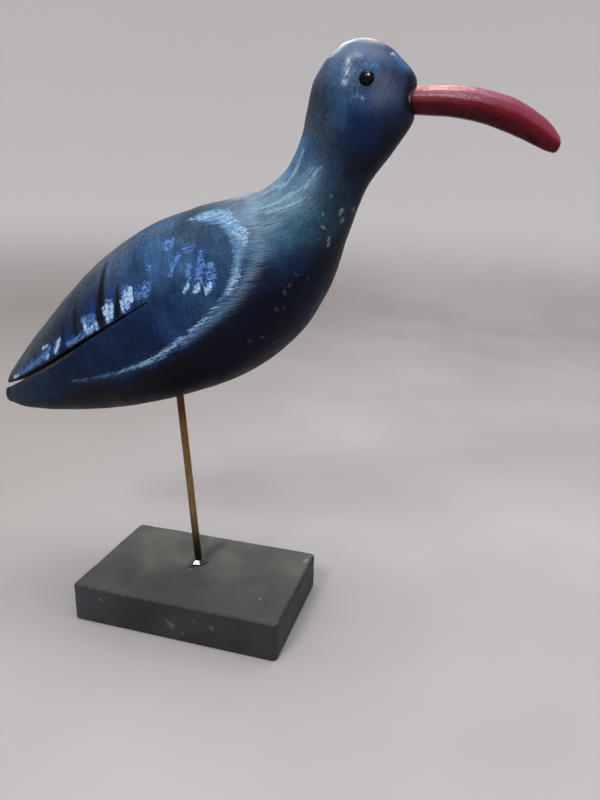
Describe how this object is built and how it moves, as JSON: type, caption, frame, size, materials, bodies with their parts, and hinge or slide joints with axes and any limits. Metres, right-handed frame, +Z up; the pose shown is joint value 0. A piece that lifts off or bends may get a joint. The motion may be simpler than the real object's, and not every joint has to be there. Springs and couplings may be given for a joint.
{
  "type": "carved shorebird decoy on stand",
  "caption": "Carved and painted wooden curlew with a long down-curved beak and glass eyes, on a brass rod set in a rectangular wooden plinth.",
  "frame": {"origin": "on the plinth's underside, straight below the point where the rod leaves the plinth's top", "axes": "+X towards the beak along the plinth's long side, +Y towards the bird's left, +Z up"},
  "size_m": [0.3445, 0.0894, 0.3465],
  "materials": {
    "plinth_paint": "sanded softwood board under dark grey-green satin paint, dusty on top, chipped to a pale undercoat in small spots",
    "rod_brass": "drawn brass rod, lightly tarnished, its foot touched with black paint",
    "clear_glue": "glossy cured glue, smoky and partly painted over",
    "bird_paint": "carved and sanded wood under navy-blue paint, dry-brushed with pale blue along the wing and nape, satin varnish",
    "beak_paint": "whittled wood under dark red-brown gloss paint",
    "pale_filler": "pale blue-green glue line",
    "eye_glass": "solid black glass, polished dome",
    "wire_steel": "annealed steel wire, bare"
  },
  "bodies": {
    "stand": {"plinth": "plinth_paint", "support_rod": "rod_brass", "rod_glue_bead": "clear_glue"},
    "bird": {"bird_body": "bird_paint", "beak": "beak_paint", "beak_glue_line": "pale_filler", "eye_left": "eye_glass", "eye_right": "eye_glass", "eye_wire_left": "wire_steel", "eye_wire_right": "wire_steel"}
  },
  "joints": [
    {"name": "bird_turn", "type": "hinge", "parent": "stand", "child": "bird", "pos_m": [0, 0, 0.0254], "axis": [-0.0924, 0, 0.9957], "continuous": true}
  ]
}
